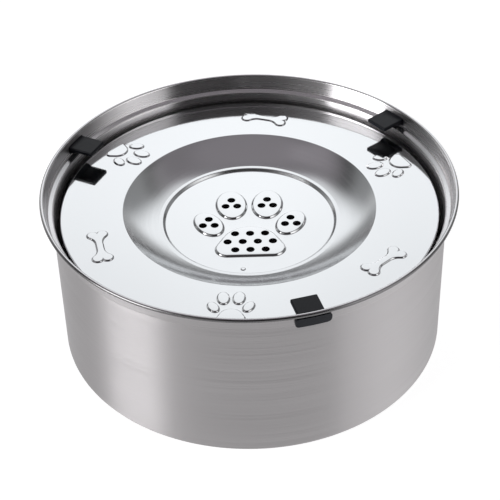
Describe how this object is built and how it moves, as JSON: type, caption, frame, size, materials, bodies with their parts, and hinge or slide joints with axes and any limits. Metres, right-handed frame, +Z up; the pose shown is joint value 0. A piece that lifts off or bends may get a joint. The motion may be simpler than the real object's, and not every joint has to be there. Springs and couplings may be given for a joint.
{
  "type": "no-spill water bowl",
  "caption": "Round steel pet water bowl with a floating perforated drinking disc that push-in stops keep below the rolled rim, so that little water spills.",
  "frame": {"origin": "middle of the footprint, on the surface that the bowl stands on", "axes": "+Z up along the bowl's axis; -Y towards the front, where the front stop is; +X to the right seen from the front"},
  "size_m": [0.26, 0.26, 0.1114],
  "materials": {
    "bowl_steel": "stainless sheet, fine vertical brushing outside, drawn polish inside",
    "deck_steel": "mirror-polished stainless sheet",
    "pan_steel": "plain drawn stainless sheet",
    "stop_rubber": "satin black silicone rubber",
    "foot_rubber": "matte black rubber"
  },
  "bodies": {
    "bowl": {"bowl_shell": "bowl_steel", "foot_rear_right": "foot_rubber", "foot_rear_left": "foot_rubber", "foot_front_left": "foot_rubber", "foot_front_right": "foot_rubber"},
    "float": {"float_deck": "deck_steel", "float_pan": "pan_steel"},
    "left_stop": {"stop_left": "stop_rubber"},
    "right_stop": {"stop_right": "stop_rubber"},
    "front_stop": {"stop_front": "stop_rubber"}
  },
  "joints": [
    {"name": "float_slide", "type": "slide", "parent": "bowl", "child": "float", "axis": [0, 0, 1], "range_m": [-0.068, 0.009], "stiffness_N_per_m": 323, "springref_m": 0.01379},
    {"name": "left_stop_slide", "type": "slide", "parent": "bowl", "child": "left_stop", "axis": [-0.891, 0.454, 0], "range_m": [0, 0.021]},
    {"name": "right_stop_slide", "type": "slide", "parent": "bowl", "child": "right_stop", "axis": [0.7771, 0.6293, 0], "range_m": [0, 0.021]},
    {"name": "front_stop_slide", "type": "slide", "parent": "bowl", "child": "front_stop", "axis": [0.2672, -0.9636, 0], "range_m": [0, 0.021]}
  ]
}
